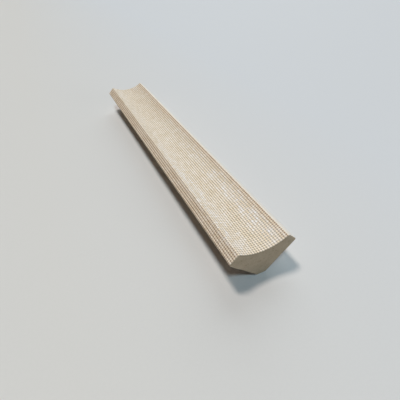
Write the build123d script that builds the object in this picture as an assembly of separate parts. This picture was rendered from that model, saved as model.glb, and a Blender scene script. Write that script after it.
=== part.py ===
from build123d import *

import os
from math import sqrt

# Cove corner moulding: a short sawn length of scotia profile, with a wood-fibre core and a
# textile-look decor foil wrapped round its show side and lapped onto its back faces.
#
# The section is drawn in corner axes, u along one wall and v along the other, with the heel at the
# origin. It is then turned 45 degrees, so that the heel chamfer lies flat on the floor and the cove
# opens upwards. In the part's frame X runs across the moulding, Y along its length and Z up. The
# origin is the middle of the heel chamfer, half way along the length.

# Driving dimensions, in millimetres.
LENGTH = 200.0  # between the two square saw cuts
LEG = 22.0  # from the heel to the outside of each lip, over the foil
LIP = 5.6  # flat land between each back face and the cove, over the foil
COVE_RADIUS = 21.0  # of the hollow face, over the foil
HEEL_CHAMFER = 3.0  # taken off each back face where the two walls meet
NOSE_RADIUS = 0.5  # of the core where a lip turns onto a back face
ARRIS_RADIUS = 0.8  # of the core where a lip turns into the cove
FOIL_THICKNESS = 0.3
FOIL_RETURN = 7.0  # how far the foil is lapped onto each back face, from the outside of the lip

# What follows from them.
core_leg = LEG - FOIL_THICKNESS
half_chord = (LEG - LIP) / sqrt(2)
cove_centre = (LEG + LIP) / 2 + sqrt(COVE_RADIUS**2 - half_chord**2) / sqrt(2)
core_cove_radius = COVE_RADIUS + FOIL_THICKNESS
core_lip = cove_centre - sqrt(core_cove_radius**2 - (cove_centre - core_leg) ** 2)
foil_edge = LEG - FOIL_RETURN


def back_outline():
    """The straight lines of the core's outline, from one arris round the heel to the other."""
    return Polyline(
        (core_leg, core_lip),
        (core_leg, 0),
        (HEEL_CHAMFER, 0),
        (0, HEEL_CHAMFER),
        (0, core_leg),
        (core_lip, core_leg),
    )


def core_section():
    """The core: a right-angled heel with its chamfer, two lips and the hollow cove between them."""
    cove_middle = cove_centre - core_cove_radius / sqrt(2)
    cove = ThreePointArc(
        (core_lip, core_leg), (cove_middle, cove_middle), (core_leg, core_lip)
    )
    section = make_face([back_outline(), cove])
    noses = [Vector(core_leg, 0), Vector(0, core_leg)]
    arrises = [Vector(core_leg, core_lip), Vector(core_lip, core_leg)]
    section = fillet(corners_at(section, noses), NOSE_RADIUS)
    return fillet(corners_at(section, arrises), ARRIS_RADIUS)


def corners_at(section, places):
    """The corners of a section that lie at the given places."""
    tolerance = 1e-4
    return [
        corner
        for corner in section.vertices()
        if any((corner.center() - place).length < tolerance for place in places)
    ]


def foil_section(core):
    """The foil: an even skin round the core, cut away from the bare back faces and heel."""
    margin = 2 * FOIL_THICKNESS
    bare_back = make_face(
        Polyline(
            (foil_edge, 0),
            (HEEL_CHAMFER, 0),
            (0, HEEL_CHAMFER),
            (0, foil_edge),
            (-margin, foil_edge),
            (-margin, -margin),
            (foil_edge, -margin),
            close=True,
        )
    )
    return offset(core, FOIL_THICKNESS) - core - bare_back


def stand_on_heel(section):
    """Sweeps a section along the length and stands it on its heel chamfer, cove upwards."""
    upright = Plane(
        origin=(0, LENGTH / 2, -HEEL_CHAMFER / sqrt(2)),
        x_dir=(1, 0, 1),
        z_dir=(0, -1, 0),
    )
    return extrude(upright * section, amount=LENGTH)


core_face = core_section()
pieces = {
    "mdf_core": stand_on_heel(core_face),
    "textile_foil": stand_on_heel(foil_section(core_face)),
}

os.makedirs("parts", exist_ok=True)
for name, piece in pieces.items():
    piece.label = name
    export_step(piece, os.path.join("parts", name + ".step"))
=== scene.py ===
import math

import bpy
import numpy as np
from bpy.props import FloatProperty, FloatVectorProperty, PointerProperty
from mathutils import Euler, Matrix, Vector


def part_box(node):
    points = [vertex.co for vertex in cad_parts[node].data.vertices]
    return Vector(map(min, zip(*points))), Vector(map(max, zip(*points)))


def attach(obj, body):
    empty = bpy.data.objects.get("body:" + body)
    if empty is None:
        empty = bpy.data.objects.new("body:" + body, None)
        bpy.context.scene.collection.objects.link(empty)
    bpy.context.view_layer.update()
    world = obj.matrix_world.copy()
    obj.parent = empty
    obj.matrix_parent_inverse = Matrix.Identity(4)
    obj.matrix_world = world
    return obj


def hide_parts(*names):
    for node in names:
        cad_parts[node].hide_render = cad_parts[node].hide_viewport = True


bl_info = {
    "name": "Cove corner moulding",
    "version": (1, 0, 0),
    "blender": (4, 5, 0),
    "location": "3D View > Sidebar > Moulding",
    "description": "A sawn length of cove moulding with a linen-look foil on a fibreboard core",
    "category": "Object",
}

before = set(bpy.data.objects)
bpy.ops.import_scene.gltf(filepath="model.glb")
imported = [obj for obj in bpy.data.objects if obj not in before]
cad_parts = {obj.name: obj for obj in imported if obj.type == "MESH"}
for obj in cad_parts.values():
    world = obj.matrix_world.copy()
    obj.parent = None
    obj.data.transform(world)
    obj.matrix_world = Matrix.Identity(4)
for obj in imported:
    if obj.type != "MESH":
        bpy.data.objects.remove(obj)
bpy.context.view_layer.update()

CORE_NODE = "mdf_core"
FOIL_NODE = "textile_foil"
BODY = "root"
STOCK_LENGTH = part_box(CORE_NODE)[1][1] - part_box(CORE_NODE)[0][1]
WEAVE_MAP = "weave"  # the foil's UV map: across in ribs, along in picks
FLECKS_GROUP = "fibre_flecks"  # shared by the board and the foil's backing

# The plain weave: how round a yarn is, how high ribs and picks lie, and how far each swings as it
# passes over and under the other. A crown is at height 1.
YARN_BULGE = 0.8
RIB_LEVEL = 0.78
RIB_SWING = 0.22
PICK_LEVEL = 0.64
PICK_SWING = 0.26

# Where the linen's colours change. Each pair is where a change starts and where it is complete.
DARKEST_RIB = 0.475  # the darkest rib of the cove, as a share of all ribs
HIGHLIGHT_SIDE_RIBS = (1.5, 5.0)  # the cove's sides, paler with a painted highlight, in ribs from the darkest one
HIGHLIGHT_FADE_PICKS = (20.0, 130.0)  # the fading of that painted highlight, in picks from the near end
HIGHLIGHT_REMAINS = 0.1  # what is left of it past that
LIP_SHADE_RIBS = (8.2, 10.4)  # the lips' browner ground, painted shade, in ribs from the darkest one
LIP_SHADE_WARMTH = 0.7  # how much of the lips' yarn takes the warm colour as painted shade
SHEEN_FLAT_RIBS = (9.8, 10.3)  # the lips' flat faces, which get the painted sheen, in ribs from the section's middle
PAINTED_SHEEN_FACING = (0.79, 0.87)  # their painted sheen: 0 is seen straight on, and 1 along the face

# The raw fibreboard. Lengths are in metres, and counts are cells of noise in a metre.
END_DEPTH = 0.00002  # how near its saw cut a point belongs to a sawn end
RIM_DEPTH = (0.00075, 0.0002)  # below the cove, where the darker rim starts and is complete
RIM_WANDER = 0.0004  # how far the rim's depth wanders
SAW_LINES = (140.0, 0.0, 2600.0)  # across, along and up on the sawn ends
PLANING_MARKS = (4200.0, 90.0, 4200.0)  # the same on the back

# The photograph's camera: its place in metres, its turn in degrees, and its lens.
PICTURE_SIDE_PX = 400
FOCAL_LENGTH_PX = 317.05
SENSOR_MM = 36.0
CAMERA_PLACE = (-0.055599, -0.165869, 0.109187)
CAMERA_TURN = (50.4918, 1.9887, -25.4649)

# The lamps: the name of each one's level, the way towards it, its width in degrees and its tint.
LAMPS = (
    ("overhead", (-0.10, 0.35, 1.0), 12.0, (1.0, 0.91, 0.83)),
    ("front", (-0.14, -0.40, 1.0), 11.0, (0.74, 0.99, 1.12)),
    ("window", (0.50, 0.72, 0.52), 46.0, (0.88, 1.0, 1.06)),
    ("room", (-0.50, 0.72, 0.48), 40.0, (1.0, 0.88, 0.80)),
    ("fill", (0.45, -0.85, 0.16), 20.0, (0.95, 1.0, 1.04)),
)
PAINTED_COOL_LIGHT_ACROSS = (-0.08, 0.12)  # metres across, where the painted cooler light on the table starts and ends


def length(name, description, default):
    """A length property in metres."""
    return FloatProperty(
        name=name, description=description, default=default, min=0.0, unit="LENGTH", precision=5
    )


def colour(name, description, default):
    """A colour property, in linear light."""
    return FloatVectorProperty(
        name=name, description=description, default=default, size=3, min=0.0, max=1.0,
        subtype="COLOR",
    )


def level(name, description, default):
    """A light level: the share of a level floor's light that comes from one source."""
    return FloatProperty(name=name, description=description, default=default, min=0.0)


class MouldingSection(bpy.types.PropertyGroup):
    """Sizes of the foil's outline, over the foil unless said otherwise."""

    leg: length("Leg", "From the heel to the outside of a lip", 0.022)
    lip: length("Lip", "Flat land between a back face and the cove", 0.0056)
    cove_radius: length("Cove radius", "Radius of the hollow face", 0.021)
    heel_chamfer: length("Heel chamfer", "Taken off each back face at the heel", 0.003)
    nose_radius: length("Nose radius", "Where a lip turns onto a back face", 0.0008)
    arris_radius: length("Arris radius", "Where a lip turns into the cove", 0.0011)
    foil_thickness: length("Foil thickness", "From the core to the crown of a rib", 0.0003)
    foil_return: length("Foil return", "How far the foil laps onto a back face", 0.007)
    stock_length: length("Length", "Between the two saw cuts", STOCK_LENGTH)


class LinenWeave(bpy.types.PropertyGroup):
    """Sizes and colours of the linen look."""

    rib_pitch: length("Rib pitch", "Between lengthwise ribs", 0.001196)
    pick_pitch: length("Pick pitch", "Between crosswise picks", 0.001094)
    relief: length("Relief", "Depth of the grooves below the crowns", 0.00010)
    yarn: colour("Yarn", "Light crowns of the yarn", (0.98, 0.865, 0.775))
    # Painted highlight: the pale yarn on the cove's sides.
    yarn_painted_highlight: colour("Pale yarn", "Crowns on the sides of the cove", (1.0, 0.945, 0.945))
    # The warm yarn is the dye of some yarns all over, and on the lips it is also painted shade.
    yarn_warm_dye_and_shade: colour("Warm yarn", "Yarns of a darker, warmer dye", (0.97, 0.815, 0.635))
    ground: colour("Ground", "Ground in the middle of the cove", (0.26, 0.185, 0.105))
    # Painted highlight: the pale ground on the cove's sides.
    ground_painted_highlight: colour("Pale ground", "Ground on the sides of the cove", (0.39, 0.315, 0.25))
    # Painted shade: the browner ground in the grooves of the lips.
    ground_painted_shade: colour("Warm ground", "Ground in the grooves of the lips", (0.25, 0.125, 0.06))
    patch: colour("Patch", "What tints the browner patches", (0.90, 0.82, 0.70))
    # Painted sheen: the pale colour a lip's flat face turns to when seen along it.
    painted_sheen: colour("Sheen", "A lip's flat face seen along it", (0.83, 0.755, 0.68))
    backing: colour("Backing", "Cut edge of the foil", (0.60, 0.50, 0.38))
    backing_dark: colour("Dark backing", "Flecks in the cut edge of the foil", (0.33, 0.27, 0.19))


class BoardFinish(bpy.types.PropertyGroup):
    """Colours of the raw fibreboard."""

    board: colour("Board", "Sawn fibreboard", (0.50, 0.40, 0.287))
    fibre_light: colour("Light fibre", "Pale fibres", (0.60, 0.50, 0.37))
    fibre_dark: colour("Dark fibre", "Bark flecks and shadow between fibres", (0.27, 0.20, 0.13))
    # A darker rim on the sawn ends just under the foil.
    under_foil_rim: colour("Scorch", "Darker rim under the foil left by the saw", (0.20, 0.155, 0.105))


class StudioLight(bpy.types.PropertyGroup):
    """Floor colours and light levels. The levels add up to 1, which shows a colour as written."""

    # Painted light: the table's warmer colour on the left and cooler colour on the right.
    floor: colour("Floor", "Pale table on the left", (0.690, 0.658, 0.630))
    floor_painted_cool_light: colour("Cool floor", "Pale table on the right", (0.668, 0.668, 0.688))
    mottle: colour("Mottle", "What tints the table's darker specks", (0.72, 0.72, 0.72))
    backdrop: colour("Backdrop", "What the camera sees above the table", (0.63, 0.64, 0.65))
    around: colour("Around", "Tint of the dim light from all around", (0.92, 0.96, 1.0))
    overhead: level("Overhead", "Soft lamp above and behind", 0.495)
    front: level("Front", "Soft lamp above and in front", 0.269)
    window: level("Window", "Broad low cool light from behind, on the right", 0.195)
    room: level("Room", "Broad low warm light from behind, on the left", 0.01)
    fill: level("Fill", "Low light from the front", 0.016)
    surround: level("Surround", "Dim light from all around", 0.015)


def cove_axis(size):
    """The distance of the cove's axis from each wall. The chord between the cove's two corners has
    its middle (leg + lip) / 2 from each wall. The axis lies further out on the diagonal, by the
    root of the radius squared less half the chord squared."""
    half_chord = (size.leg - size.lip) / math.sqrt(2)
    middle = (size.leg + size.lip) / 2
    return middle + math.sqrt(size.cove_radius**2 - half_chord**2) / math.sqrt(2)


def section_runs(size):
    """The foil's outer outline, from its left edge over both lips and the cove to its right edge.

    Each run is (length, curvature). A straight run has no curvature, the noses and arrises turn
    clockwise, and the cove turns anticlockwise. The second half mirrors the first.
    """
    nose, arris = size.nose_radius, size.arris_radius
    axis = cove_axis(size)
    reach = size.cove_radius + arris
    rise = axis - size.leg + arris
    arris_across = axis - math.sqrt(reach**2 - rise**2)
    arris_turn = math.pi / 2 - math.asin(rise / reach)
    lip_flat = arris_across - (nose - size.foil_thickness)
    half_cove = (arris_turn - math.pi / 4) * size.cove_radius
    half = [
        (size.foil_return - nose, 0.0),
        (nose * math.pi / 2, -1 / nose),
        (lip_flat, 0.0),
        (arris * arris_turn, -1 / arris),
        (half_cove, 1 / size.cove_radius),
    ]
    return half + half[::-1]


def carry_along(runs, start, heading, stations):
    """Points and outward normals of an outline at the given distances along it.

    Each run starts where the last one ended. At distance x into a run of curvature k, the point
    lies x * sin(k x / 2) / (k x / 2) from the run's start, in the direction of the run's first
    heading plus k x / 2, and the heading there is the first one plus k x.
    """
    lengths, curvature = (np.array(column) for column in zip(*runs))
    begins = np.concatenate([[0.0], np.cumsum(lengths)])
    headings = heading + np.concatenate([[0.0], np.cumsum(lengths * curvature)])

    def chord(x, k, first):
        reach = x * np.sinc(k * x / (2 * np.pi))
        way = first + k * x / 2
        return reach[:, None] * np.stack([np.cos(way), np.sin(way)], axis=1)

    steps = chord(lengths, curvature, headings[:-1])
    corners = np.array(start) + np.concatenate([np.zeros((1, 2)), np.cumsum(steps, axis=0)])
    run = np.clip(np.searchsorted(begins, stations, side="right") - 1, 0, len(runs) - 1)
    into = stations - begins[run]
    points = corners[run] + chord(into, curvature[run], headings[run])
    turned = headings[run] + curvature[run] * into
    return points, np.stack([-np.sin(turned), np.cos(turned)], axis=1)


def weave_height(rib, pick):
    """Height of a plain weave, from 0 in the grooves to 1 on the crowns.

    A rib yarn's cross-section is a half sine over its pitch, and it rises on one pick and sinks
    on the next as the sine of the pick count. A pick yarn does the opposite, and lies lower. The
    higher of the two shows.
    """
    wave_along = np.sin(np.pi * pick) * np.where(np.floor(rib) % 2 == 0, 1.0, -1.0)
    wave_across = np.sin(np.pi * rib) * np.where(np.floor(pick) % 2 == 0, 1.0, -1.0)
    rib_yarn = np.abs(np.sin(np.pi * rib)) ** YARN_BULGE * (RIB_LEVEL + RIB_SWING * wave_along)
    pick_yarn = np.abs(np.sin(np.pi * pick)) ** YARN_BULGE * (PICK_LEVEL - PICK_SWING * wave_across)
    return np.maximum(rib_yarn, pick_yarn)


def stand_on_heel(section, along, size):
    """Turns section points 45 degrees onto the heel chamfer and lays them out along Y."""
    u, v = section[..., 0], section[..., 1]
    lift = size.heel_chamfer / math.sqrt(2)
    across, up = (u - v) / math.sqrt(2), (u + v) / math.sqrt(2) - lift
    return np.stack([across, np.broadcast_to(along, u.shape), up], axis=-1)


def foil_points(outline, outward, along, height, weave, size):
    """The foil's points: its woven skin row by row, then the two end rows of its glued side.

    The skin is the outline carried along Y, and sinks along its normal by the relief times what
    the weave's height lacks of 1. The glued side is the outline moved inward by the thickness.
    """
    sunk = (height - 1) * weave.relief
    skin = stand_on_heel(outline[None] + sunk[..., None] * outward[None], along[:, None], size)
    glued = np.broadcast_to(outline - outward * size.foil_thickness, (2, *outline.shape))
    lining = stand_on_heel(glued, along[[0, -1], None], size)
    return np.concatenate([skin.reshape(-1, 3), lining.reshape(-1, 3)])


def grid_faces(rows, columns, first=0):
    """Quads of a grid of points numbered row by row, facing the outline's outward side."""
    row, column = np.meshgrid(np.arange(rows - 1), np.arange(columns - 1), indexing="ij")
    a = first + row * columns + column
    return np.stack([a, a + 1, a + columns + 1, a + columns], axis=-1).reshape(-1, 4)


def fan(tip, rim):
    """Triangles from one point to each stretch of a rim."""
    return np.stack([np.full(len(rim) - 1, tip), rim[:-1], rim[1:]], axis=1)


def foil_faces(rows, columns):
    """The foil's faces, all outward: the quads of its woven skin, its other quads, its triangles.

    The other quads are the lining and the two sawn ends, which join the skin's end rows to the
    lining's. The triangles close each long edge: a fan from either corner of the lining to its
    half of the skin's edge, and one triangle between the two.
    """
    shown = np.arange(rows * columns).reshape(rows, columns)
    glued = rows * columns + np.arange(2 * columns).reshape(2, columns)
    lining = grid_faces(2, columns, rows * columns)[:, ::-1]
    ends = [
        np.stack([edge[1:], edge[:-1], under[:-1], under[1:]], axis=1)
        for edge, under in ((shown[0], glued[0]), (shown[-1][::-1], glued[1][::-1]))
    ]
    middle = rows // 2
    long_edges = (
        (shown[:, 0], glued[0, 0], glued[1, 0]), (shown[::-1, -1], glued[1, -1], glued[0, -1])
    )
    triangles = [
        part
        for rim, first, last in long_edges
        for part in (
            fan(first, rim[: middle + 1]),
            fan(last, rim[middle:]),
            np.array([[first, rim[middle], last]]),
        )
    ]
    return grid_faces(rows, columns), np.concatenate([lining, *ends]), np.concatenate(triangles)


def weave_counts(rib, pick):
    """The rib and pick counts of the foil's points, in the order of foil_points."""
    return np.concatenate([
        np.stack(np.meshgrid(rib, rows), axis=-1).reshape(-1, 2) for rows in (pick, pick[[0, -1]])
    ])


def make_mesh(name, points, quads, triangles, smooth_quads):
    """A mesh object from arrays; the first smooth_quads faces are shaded smooth."""
    mesh = bpy.data.meshes.new(name)
    corners = np.concatenate([quads.ravel(), triangles.ravel()]).astype(np.int32)
    sides = np.concatenate([np.full(len(quads), 4), np.full(len(triangles), 3)])
    starts = np.concatenate([[0], np.cumsum(sides)[:-1]]).astype(np.int32)
    mesh.vertices.add(len(points))
    mesh.loops.add(len(corners))
    mesh.polygons.add(len(sides))
    mesh.vertices.foreach_set("co", points.astype(np.float32).ravel())
    mesh.loops.foreach_set("vertex_index", corners)
    mesh.polygons.foreach_set("loop_start", starts)
    mesh.polygons.foreach_set("use_smooth", np.arange(len(sides)) < smooth_quads)
    mesh.update(calc_edges=True)
    mesh.validate()
    piece = bpy.data.objects.new(name, mesh)
    bpy.context.scene.collection.objects.link(piece)
    return piece, corners


class Nodes:
    """A short way to add and join the nodes of one tree."""

    def __init__(self, tree):
        self.tree = tree

    def add(self, kind, **settings):
        """A node; settings named with a leading underscore set its properties, others its inputs."""
        node = self.tree.nodes.new(kind)
        for key, value in settings.items():
            if key.startswith("_"):
                setattr(node, key[1:], value)
        self.fill(node, **{key: value for key, value in settings.items() if key[0] != "_"})
        return node

    def fill(self, node, **inputs):
        """Sets inputs of a node, each by a value or by a link from an output."""
        for key, value in inputs.items():
            socket = self.find(node, key)
            if isinstance(value, bpy.types.NodeSocket):
                self.tree.links.new(value, socket)
            elif socket.type == "RGBA" and len(value) == 3:
                socket.default_value = (*value, 1.0)
            else:
                socket.default_value = value

    def find(self, node, key):
        """The input called key, with underscores for spaces, or the one of that number."""
        if key[:1] == "i" and key[1:].isdigit():
            return node.inputs[int(key[1:])]
        return next(
            socket for socket in node.inputs
            if socket.enabled and socket.name.replace(" ", "_") == key
        )

    def group(self, tree, **inputs):
        """A node group placed with its own values."""
        return self.add("ShaderNodeGroup", _node_tree=tree, **inputs)

    def math(self, operation, *numbers):
        """The value of one operation on one, two or three numbers."""
        inputs = {f"i{place}": number for place, number in enumerate(numbers)}
        return self.add("ShaderNodeMath", _operation=operation, **inputs).outputs[0]

    def mix(self, factor, a, b, blend="MIX"):
        """A mixed colour."""
        return self.add(
            "ShaderNodeMix", _data_type="RGBA", _blend_type=blend, i0=factor, i6=a, i7=b
        ).outputs[2]

    def spread(self, value, low, high, to_low=0.0, to_high=1.0):
        """A value spread from one range to another and held to it."""
        return self.add(
            "ShaderNodeMapRange", Value=value, From_Min=low, From_Max=high, To_Min=to_low,
            To_Max=to_high,
        ).outputs[0]

    def noise(self, vector, scale=1.0, detail=2.0, roughness=0.6):
        """The value of a noise texture."""
        return self.add(
            "ShaderNodeTexNoise", Vector=vector, Scale=scale, Detail=detail, Roughness=roughness
        ).outputs["Fac"]

    def stretched(self, vector, scale):
        """A vector with each axis scaled."""
        return self.add("ShaderNodeMapping", Vector=vector, Scale=scale).outputs[0]

    def bump(self, height, strength, depth):
        """A normal that a height bends; a height of 1 is the depth, in metres."""
        return self.add(
            "ShaderNodeBump", Height=height, Strength=strength, Distance=depth
        ).outputs[0]


def new_group(name, inputs, outputs):
    """An empty node group with named sockets, and its input and output nodes."""
    tree = bpy.data.node_groups.new(name, "ShaderNodeTree")
    for kind, sockets in (("INPUT", inputs), ("OUTPUT", outputs)):
        for label, what in sockets.items():
            tree.interface.new_socket(label, in_out=kind, socket_type="NodeSocket" + what)
    nodes = Nodes(tree)
    return tree, nodes, nodes.add("NodeGroupInput"), nodes.add("NodeGroupOutput")


def new_material(name):
    """An empty material: its nodes, its Principled BSDF and its name."""
    material = bpy.data.materials.new(name)
    material.use_nodes = True
    material.node_tree.nodes.clear()
    nodes = Nodes(material.node_tree)
    surface = nodes.add("ShaderNodeBsdfPrincipled")
    nodes.add("ShaderNodeOutputMaterial", Surface=surface.outputs[0])
    return material, nodes, surface


def fibre_flecks():
    """Short fibres of wood or paper that lie every way: long thin noise turned three ways, coarse
    flecks, and their height. Vector is in metres. The group is built once and shared."""
    if FLECKS_GROUP in bpy.data.node_groups:
        return bpy.data.node_groups[FLECKS_GROUP]
    tree, nodes, given, result = new_group(
        FLECKS_GROUP,
        {"Vector": "Vector", "Fibres per metre": "Float"},
        {"Pale": "Float", "Dark": "Float", "Height": "Float"},
    )
    vector = given.outputs["Vector"]
    per_metre = given.outputs["Fibres per metre"]
    fibre_shape = (1.0, 1.3, 4.2)
    fibre_turns = ((0.4, 0.5, 0.0), (-0.3, 1.5, 0.6), (0.7, -0.6, 1.3))
    lays = []
    for turn in fibre_turns:
        turned = nodes.add(
            "ShaderNodeMapping", _vector_type="TEXTURE", Vector=vector, Rotation=turn,
            Scale=fibre_shape,
        )
        lays.append(nodes.noise(turned.outputs[0], per_metre, detail=3.0))
    tangle = nodes.math("MAXIMUM", nodes.math("MAXIMUM", lays[0], lays[1]), lays[2])
    coarser = 0.22  # flecks for each fibre
    coarse = nodes.noise(vector, nodes.math("MULTIPLY", per_metre, coarser), roughness=0.5)
    dark = nodes.spread(nodes.math("MINIMUM", lays[0], coarse), 0.40, 0.24)
    height = nodes.math("SUBTRACT", tangle, nodes.math("MULTIPLY", dark, 0.3))
    nodes.fill(result, Pale=nodes.spread(tangle, 0.58, 0.78), Dark=dark, Height=height)
    return tree


def linen_look():
    """The linen look, in rib and pick counts: the same plain weave as the relief, with yarns of
    uneven thickness and dye, slubs along them and twist across them."""
    tree, nodes, given, result = new_group(
        "linen_look",
        {"Vector": "Vector", "Yarn": "Color", "Warm yarn": "Color", "Ground": "Color"},
        {"Color": "Color", "Height": "Float", "Crown": "Float"},
    )
    vector = given.outputs["Vector"]
    rib, pick, _ = nodes.add("ShaderNodeSeparateXYZ", Vector=vector).outputs
    rib_number = nodes.math("FLOOR", rib)
    pick_number = nodes.math("FLOOR", pick)

    def sine(count):
        return nodes.math("SINE", nodes.math("MULTIPLY", count, math.pi))

    def yarn_height(across, along, number, yarn_level, swing):
        """One yarn's height, as weave_height has it; its number says which way it swings first."""
        profile = nodes.math("POWER", nodes.math("ABSOLUTE", sine(across)), YARN_BULGE)
        parity = nodes.math("MULTIPLY_ADD", nodes.math("FLOORED_MODULO", number, 2.0), -2.0, 1.0)
        wave = nodes.math("MULTIPLY", sine(along), parity)
        return nodes.math("MULTIPLY", profile, nodes.math("MULTIPLY_ADD", wave, swing, yarn_level))

    def slubs(number, along, seed, per_count):
        """Noise of its own for each yarn, far from its neighbours' and slow to change along it."""
        apart = 5.3
        where = nodes.add("ShaderNodeCombineXYZ", X=number, Y=seed, Z=along)
        return nodes.noise(nodes.stretched(where.outputs[0], (apart, 1.0, per_count)))

    rib_yarn = yarn_height(rib, pick, rib_number, RIB_LEVEL, RIB_SWING)
    pick_yarn = yarn_height(pick, rib, pick_number, PICK_LEVEL, -PICK_SWING)
    height = nodes.math("MAXIMUM", rib_yarn, pick_yarn)
    slub = nodes.mix(
        nodes.math("GREATER_THAN", pick_yarn, rib_yarn),
        slubs(rib_number, pick, seed=0.37, per_count=0.16),
        slubs(pick_number, rib, seed=7.91, per_count=0.22),
    )
    thickness = nodes.math("MULTIPLY_ADD", slub, 0.36, -0.18)
    crown = nodes.spread(nodes.math("ADD", height, thickness), 0.32, 0.86)
    dye = nodes.spread(slub, 0.42, 0.68)
    dyed = nodes.mix(dye, given.outputs["Warm yarn"], given.outputs["Yarn"])
    twist = nodes.noise(nodes.stretched(vector, (9.0, 6.0, 1.0)))
    nodes.fill(
        result,
        Color=nodes.mix(crown, given.outputs["Ground"], dyed),
        Height=nodes.math("MULTIPLY_ADD", twist, 0.25, nodes.math("MULTIPLY", height, 0.9)),
        Crown=crown,
    )
    return tree


def painted_lip_sheen(nodes, from_middle):
    """How much painted sheen a lip's flat face gets, 0 to 1: all of it to a viewer who looks along
    the face, and none to one who looks at it. The face leans 45 degrees outward."""
    lean = math.sqrt(0.5)
    sideways = nodes.math("MULTIPLY", nodes.math("SIGN", from_middle), lean)
    outward = nodes.add("ShaderNodeCombineXYZ", X=sideways, Z=lean)
    turned = nodes.add(
        "ShaderNodeVectorTransform", _vector_type="NORMAL", _convert_from="OBJECT",
        _convert_to="WORLD", Vector=outward.outputs[0],
    )
    away = nodes.add("ShaderNodeLayerWeight", Blend=0.5, Normal=turned.outputs[0])
    on_flat = nodes.spread(nodes.math("ABSOLUTE", from_middle), *SHEEN_FLAT_RIBS)
    seen = nodes.spread(away.outputs["Facing"], *PAINTED_SHEEN_FACING)
    return nodes.math("MULTIPLY", on_flat, seen)


def linen_material(weave, ribs):
    """The foil's show side. Its ground is darkest on a rib a little to the left of the middle, has a
    painted highlight on the sides of the cove, which fades along the length, and painted shade,
    browner, on the lips, whose flat faces get a painted sheen."""
    material, nodes, surface = new_material("linen_look_foil")
    counts = nodes.add("ShaderNodeUVMap", _uv_map=WEAVE_MAP).outputs[0]
    rib, pick, _ = nodes.add("ShaderNodeSeparateXYZ", Vector=counts).outputs
    from_darkest = nodes.math("ABSOLUTE", nodes.math("SUBTRACT", rib, ribs * DARKEST_RIB))
    # Painted shade: the lips turn browner and warmer.
    painted_lip_shade = nodes.spread(from_darkest, *LIP_SHADE_RIBS)
    # Painted highlight: the cove's sides turn paler, less so further from the near end.
    highlight_kept_along = nodes.spread(pick, *HIGHLIGHT_FADE_PICKS, to_low=1.0, to_high=HIGHLIGHT_REMAINS)
    painted_highlight = nodes.math("MULTIPLY", nodes.spread(from_darkest, *HIGHLIGHT_SIDE_RIBS), highlight_kept_along)
    cove_yarn = nodes.mix(painted_highlight, weave.yarn, weave.yarn_painted_highlight)
    cove_ground = nodes.mix(painted_highlight, weave.ground, weave.ground_painted_highlight)
    lip_shade_warmth = nodes.math("MULTIPLY", painted_lip_shade, LIP_SHADE_WARMTH)
    look = nodes.group(
        linen_look(), Vector=counts, Warm_yarn=weave.yarn_warm_dye_and_shade,
        Yarn=nodes.mix(lip_shade_warmth, cove_yarn, weave.yarn_warm_dye_and_shade),
        Ground=nodes.mix(painted_lip_shade, cove_ground, weave.ground_painted_shade),
    )
    woven = look.outputs["Color"]
    patches = nodes.noise(nodes.stretched(counts, (0.11, 0.035, 1.0)), detail=3.0, roughness=0.55)
    patched = nodes.mix(
        nodes.spread(patches, 0.35, 0.68, to_high=0.30), woven,
        nodes.mix(1.0, woven, weave.patch, "MULTIPLY"),
    )
    # Painted sheen on the lips' flat faces, strongest when they are seen along them.
    painted_sheen = painted_lip_sheen(nodes, nodes.math("SUBTRACT", rib, ribs / 2))
    nodes.fill(
        surface,
        Base_Color=nodes.mix(painted_sheen, patched, weave.painted_sheen),
        Roughness=nodes.spread(look.outputs["Crown"], 0.0, 1.0, to_low=0.65, to_high=0.48),
        Specular_IOR_Level=0.3,
        Normal=nodes.bump(look.outputs["Height"], strength=0.6, depth=0.00006),
    )
    return material


def backing_material(weave):
    """The foil's cut edge and its glued side: pale paper with short fibres."""
    material, nodes, surface = new_material("foil_backing")
    where = nodes.add("ShaderNodeTexCoord").outputs["Object"]
    fibres = nodes.group(fibre_flecks(), Vector=where, Fibres_per_metre=9000.0)
    flecked = nodes.math("MULTIPLY", fibres.outputs["Dark"], 0.7)
    nodes.fill(
        surface,
        Base_Color=nodes.mix(flecked, weave.backing, weave.backing_dark),
        Roughness=0.85,
        Normal=nodes.bump(fibres.outputs["Height"], strength=0.5, depth=0.00003),
    )
    return material


def depth_below_cove(nodes, x, z, size):
    """How deep a point of the core lies below its cove: the distance from the cove's own axis,
    less the radius of the cove under the foil."""
    axis_height = cove_axis(size) * math.sqrt(2) - size.heel_chamfer / math.sqrt(2)
    above = nodes.math("SUBTRACT", z, axis_height)
    squares = nodes.math("MULTIPLY", x, x), nodes.math("MULTIPLY", above, above)
    from_axis = nodes.math("SQRT", nodes.math("ADD", *squares))
    return nodes.math("SUBTRACT", from_axis, size.cove_radius + size.foil_thickness)


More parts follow.
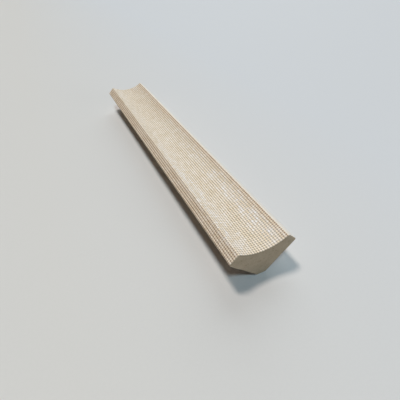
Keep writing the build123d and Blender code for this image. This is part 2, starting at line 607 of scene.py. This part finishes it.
def board_material(board, size):
    """Raw fibreboard: fibre flecks and saw lines on the sawn ends, a closer and smoother skin with
    lengthwise planing marks on the back, and a darker rim on the ends just under the foil."""
    material, nodes, surface = new_material("raw_fibreboard")
    where = nodes.add("ShaderNodeTexCoord").outputs["Object"]
    x, y, z = nodes.add("ShaderNodeSeparateXYZ", Vector=where).outputs
    end_from = size.stock_length / 2 - END_DEPTH
    on_end = nodes.math("GREATER_THAN", nodes.math("ABSOLUTE", y), end_from)
    sawn = nodes.group(fibre_flecks(), Vector=where, Fibres_per_metre=3600.0)
    smoothed = nodes.stretched(where, (1.0, 0.12, 1.0))
    planed = nodes.group(fibre_flecks(), Vector=smoothed, Fibres_per_metre=5200.0)
    pale, dark, fibre_height = (
        nodes.mix(on_end, planed.outputs[label], sawn.outputs[label])
        for label in ("Pale", "Dark", "Height")
    )
    saw_lines = nodes.noise(nodes.stretched(where, SAW_LINES))
    planing_marks = nodes.noise(nodes.stretched(where, PLANING_MARKS))
    marks = nodes.mix(on_end, planing_marks, saw_lines)

    cloud = nodes.noise(where, scale=260.0, detail=3.0, roughness=0.55)
    depth = depth_below_cove(nodes, x, z, size)
    wandered = nodes.math("ADD", depth, nodes.math("MULTIPLY", cloud, RIM_WANDER))
    rim = nodes.math("MULTIPLY", nodes.spread(wandered, *RIM_DEPTH), on_end)

    # What lies over the board's own colour: where each layer shows, how strongly, and its colour.
    layers = (
        (nodes.spread(cloud, 0.3, 0.7), 0.35, board.fibre_dark),
        (pale, 0.55, board.fibre_light),
        (dark, 0.7, board.fibre_dark),
        (nodes.spread(marks, 0.45, 0.7), 0.16, board.fibre_dark),
        (rim, 0.55, board.under_foil_rim),
    )
    tone = board.board
    for shows, strength, paint in layers:
        tone = nodes.mix(nodes.math("MULTIPLY", shows, strength), tone, paint)
    height = nodes.math("ADD", fibre_height, nodes.math("MULTIPLY", marks, 0.6))
    nodes.fill(
        surface,
        Base_Color=tone,
        Roughness=nodes.spread(dark, 0.0, 1.0, to_low=0.82, to_high=0.95),
        Specular_IOR_Level=0.25,
        Normal=nodes.bump(height, strength=0.7, depth=0.00008),
    )
    return material


def floor_material(light):
    """A pale satin table top with a faint mottle, and painted light a little cooler toward the
    right.
    """
    material, nodes, surface = new_material("pale_table")
    where = nodes.add("ShaderNodeTexCoord").outputs["Object"]
    across = nodes.add("ShaderNodeSeparateXYZ", Vector=where).outputs[0]
    # Painted light: warmer on the left, cooler on the right.
    base = nodes.mix(nodes.spread(across, *PAINTED_COOL_LIGHT_ACROSS), light.floor, light.floor_painted_cool_light)
    specks = nodes.noise(where, scale=900.0, detail=4.0)
    mottled = nodes.mix(1.0, base, light.mottle, "MULTIPLY")
    nodes.fill(
        surface,
        Base_Color=nodes.mix(nodes.spread(specks, 0.3, 0.7, to_high=0.05), base, mottled),
        Roughness=0.8,
        Specular_IOR_Level=0.08,
    )
    return material


class MOULDING_OT_foil(bpy.types.Operator):
    """Wraps the linen-look foil round the lips and the cove, as one closed sheet"""

    bl_idname = "moulding.foil"
    bl_label = "Wrap foil"
    bl_options = {"REGISTER", "UNDO"}

    ribs_step = 4  # columns of the mesh for each rib
    picks_step = 3  # rows of the mesh for each pick

    def execute(self, context):
        size, weave = context.scene.moulding_section, context.scene.moulding_weave
        runs = section_runs(size)
        girth = sum(run_length for run_length, _ in runs)
        ribs = round(girth / weave.rib_pitch)
        picks = round(size.stock_length / weave.pick_pitch)
        rib = np.linspace(0, ribs, ribs * self.ribs_step + 1)
        pick = np.linspace(0, picks, picks * self.picks_step + 1)
        start = (-size.foil_thickness, size.leg - size.foil_return)
        outline, outward = carry_along(runs, start, math.pi / 2, rib / ribs * girth)
        along = (pick / picks - 0.5) * size.stock_length
        height = weave_height(rib[None, :], pick[:, None])
        points = foil_points(outline, outward, along, height, weave, size)
        skin, quads, triangles = foil_faces(len(pick), len(rib))
        piece, corners = make_mesh(
            "linen_foil", points, np.concatenate([skin, quads]), triangles, len(skin)
        )
        piece.data.uv_layers.new(name=WEAVE_MAP).data.foreach_set(
            "uv", weave_counts(rib, pick)[corners].astype(np.float32).ravel()
        )
        piece.data.materials.append(linen_material(weave, ribs))
        piece.data.materials.append(backing_material(weave))
        slots = np.ones(len(piece.data.polygons), np.int32)
        slots[: len(skin)] = 0
        piece.data.polygons.foreach_set("material_index", slots)
        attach(piece, BODY)
        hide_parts(FOIL_NODE)
        return {"FINISHED"}


class MOULDING_OT_core(bpy.types.Operator):
    """Gives the core its raw fibreboard finish"""

    bl_idname = "moulding.core"
    bl_label = "Finish core"
    bl_options = {"REGISTER", "UNDO"}

    def execute(self, context):
        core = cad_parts[CORE_NODE]
        finish = board_material(context.scene.moulding_board, context.scene.moulding_section)
        core.data.materials.clear()
        core.data.materials.append(finish)
        return {"FINISHED"}


def soft_lamp(name, toward, spread, share, tint):
    """A distant round lamp, spread degrees wide, in the direction toward. It gives a level floor
    the given share of its light, so its strength is pi * share / the sine of its height."""
    direction = Vector(toward).normalized()
    lamp = bpy.data.lights.new(name, "SUN")
    lamp.angle = math.radians(spread)
    lamp.energy = math.pi * share / direction.z
    lamp.color = tint
    thing = bpy.data.objects.new(name, lamp)
    thing.matrix_world = direction.to_track_quat("Z", "Y").to_matrix().to_4x4()
    bpy.context.scene.collection.objects.link(thing)


def surrounding_light(light):
    """A world that lights the scene dimly from all around and shows the camera a plain backdrop."""
    world = bpy.data.worlds.new("surround")
    world.use_nodes = True
    world.node_tree.nodes.clear()
    nodes = Nodes(world.node_tree)
    path = nodes.add("ShaderNodeLightPath").outputs
    shown = nodes.math("MAXIMUM", path["Is Camera Ray"], path["Is Transmission Ray"])
    around = nodes.add("ShaderNodeBackground", Color=light.around, Strength=light.surround)
    backdrop = nodes.add("ShaderNodeBackground", Color=light.backdrop, Strength=1.0)
    mixed = nodes.add(
        "ShaderNodeMixShader", i0=shown, i1=around.outputs[0], i2=backdrop.outputs[0]
    )
    nodes.add("ShaderNodeOutputWorld", Surface=mixed.outputs[0])
    return world


class MOULDING_OT_stage(bpy.types.Operator):
    """Sets the floor, the lamps, the surrounding light and the camera"""

    bl_idname = "moulding.stage"
    bl_label = "Set stage"
    bl_options = {"REGISTER", "UNDO"}

    floor_reach = 3.0  # metres from the middle to each side
    clip_start = 0.005  # metres in front of the camera

    def execute(self, context):
        light = context.scene.moulding_light
        reach = self.floor_reach
        floor = bpy.data.meshes.new("floor")
        floor.from_pydata(
            [(-reach, -reach, 0), (reach, -reach, 0), (reach, reach, 0), (-reach, reach, 0)],
            [], [(0, 1, 2, 3)],
        )
        floor.materials.append(floor_material(light))
        table = bpy.data.objects.new("floor", floor)
        context.scene.collection.objects.link(table)

        for name, toward, spread, tint in LAMPS:
            soft_lamp(name + "_lamp", toward, spread, getattr(light, name), tint)
        context.scene.world = surrounding_light(light)

        camera = bpy.data.cameras.new("camera")
        camera.sensor_width = SENSOR_MM
        camera.lens = FOCAL_LENGTH_PX / PICTURE_SIDE_PX * SENSOR_MM
        camera.clip_start = self.clip_start
        eye = bpy.data.objects.new("camera", camera)
        eye.location = CAMERA_PLACE
        eye.rotation_euler = Euler([math.radians(a) for a in CAMERA_TURN], "XYZ")
        context.scene.collection.objects.link(eye)
        context.scene.camera = eye
        context.scene.view_settings.view_transform = "Standard"
        return {"FINISHED"}


class MOULDING_PT_panel(bpy.types.Panel):
    """The moulding's sizes, colours and steps"""

    bl_idname = "MOULDING_PT_panel"
    bl_label = "Cove moulding"
    bl_space_type = "VIEW_3D"
    bl_region_type = "UI"
    bl_category = "Moulding"

    def draw(self, context):
        for operator in OPERATORS:
            self.layout.operator(operator.bl_idname)
        for name in GROUPS:
            box = self.layout.box()
            values = getattr(context.scene, name)
            for key in values.bl_rna.properties.keys():
                if key not in ("rna_type", "name"):
                    box.prop(values, key)


OPERATORS = (MOULDING_OT_foil, MOULDING_OT_core, MOULDING_OT_stage)
GROUPS = {
    "moulding_section": MouldingSection,
    "moulding_weave": LinenWeave,
    "moulding_board": BoardFinish,
    "moulding_light": StudioLight,
}
CLASSES = (*GROUPS.values(), *OPERATORS, MOULDING_PT_panel)


def register():
    """Registers the classes and gives the scene their values."""
    for each in CLASSES:
        bpy.utils.register_class(each)
    for name, group in GROUPS.items():
        setattr(bpy.types.Scene, name, PointerProperty(type=group))


def unregister():
    """Takes the values and the classes away again."""
    for name in GROUPS:
        delattr(bpy.types.Scene, name)
    for each in reversed(CLASSES):
        bpy.utils.unregister_class(each)


def main():
    """Builds the piece and the stage."""
    register()
    bpy.ops.moulding.foil()
    bpy.ops.moulding.core()
    bpy.ops.moulding.stage()


if __name__ == "__main__":
    main()
